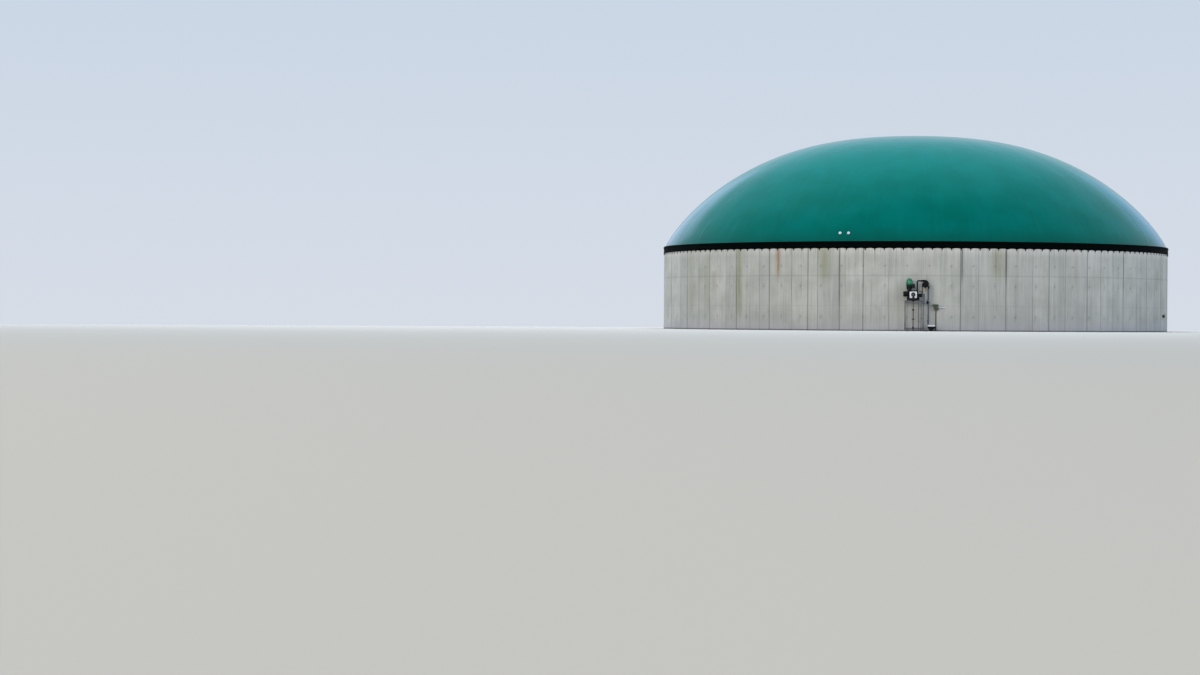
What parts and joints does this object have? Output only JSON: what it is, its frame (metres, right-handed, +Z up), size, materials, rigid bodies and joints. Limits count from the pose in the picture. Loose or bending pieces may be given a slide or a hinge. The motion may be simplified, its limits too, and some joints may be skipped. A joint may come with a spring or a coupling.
{
  "type": "biogas digester",
  "caption": "Round concrete biogas digester, 30 m across, under a teal inflated membrane dome, with a mixer drive and an air blower at its wall",
  "frame": {"origin": "centre of the tank's floor face on the ground, on the tank's axis", "axes": "+Z up along the tank's axis, -Y towards the front with the mixer drive, +X to the right seen from the front"},
  "size_m": [30.0846, 30.7979, 11.575],
  "materials": {
    "concrete": "board-marked grey cast concrete, weathered and streaked",
    "membrane": "teal PVC-coated polyester fabric, glossy, with welded seams",
    "rim_skirt": "near-black membrane skirt under a clamping strip",
    "galvanised_steel": "hot-dip galvanised, dull grey with spangle",
    "white_enamel": "white enamel paint, lightly soiled",
    "green_paint": "green machine enamel over ribbed casting",
    "black_casting": "black paint over cast iron",
    "black_pipe": "black paint over steel pipe",
    "dark_pipe": "dark blue-grey or olive paint over steel pipe, post and sheet",
    "brass": "dull cast brass",
    "grey_plastic": "grey-green moulded plastic"
  },
  "bodies": {
    "root": {"tank_floor": "concrete", "wall_segment_01": "concrete", "wall_segment_02": "concrete", "wall_segment_03": "concrete", "wall_segment_04": "concrete", "wall_segment_05": "concrete", "wall_segment_06": "concrete", "wall_segment_07": "concrete", "wall_segment_08": "concrete", "wall_segment_09": "concrete", "wall_segment_10": "concrete", "wall_segment_11": "concrete", "wall_segment_12": "concrete", "rim_band_1": "rim_skirt", "rim_band_2": "rim_skirt", "gas_dome": "membrane", "sight_port_left": "white_enamel", "sight_port_right": "white_enamel", "drive_stand": "galvanised_steel", "base_plate": "galvanised_steel", "shaft_tube": "galvanised_steel", "mixer_gearbox": "black_casting", "bearing_plate": "white_enamel", "seal_ring": "black_casting", "drain_pipe": "black_casting", "motor_lantern": "black_casting", "drive_motor": "green_paint", "terminal_box": "black_casting", "control_box": "dark_pipe", "service_pipe_left": "dark_pipe", "service_pipe_right": "dark_pipe", "air_blower": "black_casting", "blower_bracket": "galvanised_steel", "blower_outlet_pipe": "black_pipe", "vent_pipe": "black_pipe", "drain_valve": "brass", "riser_pipe": "dark_pipe", "riser_clamp": "black_casting", "pit_base": "black_casting", "pit_lid": "white_enamel", "junction_post": "dark_pipe", "junction_box_lower": "grey_plastic", "junction_box_upper": "grey_plastic", "conduit_arm": "galvanised_steel", "wall_nozzle": "black_casting"}
  },
  "joints": []
}
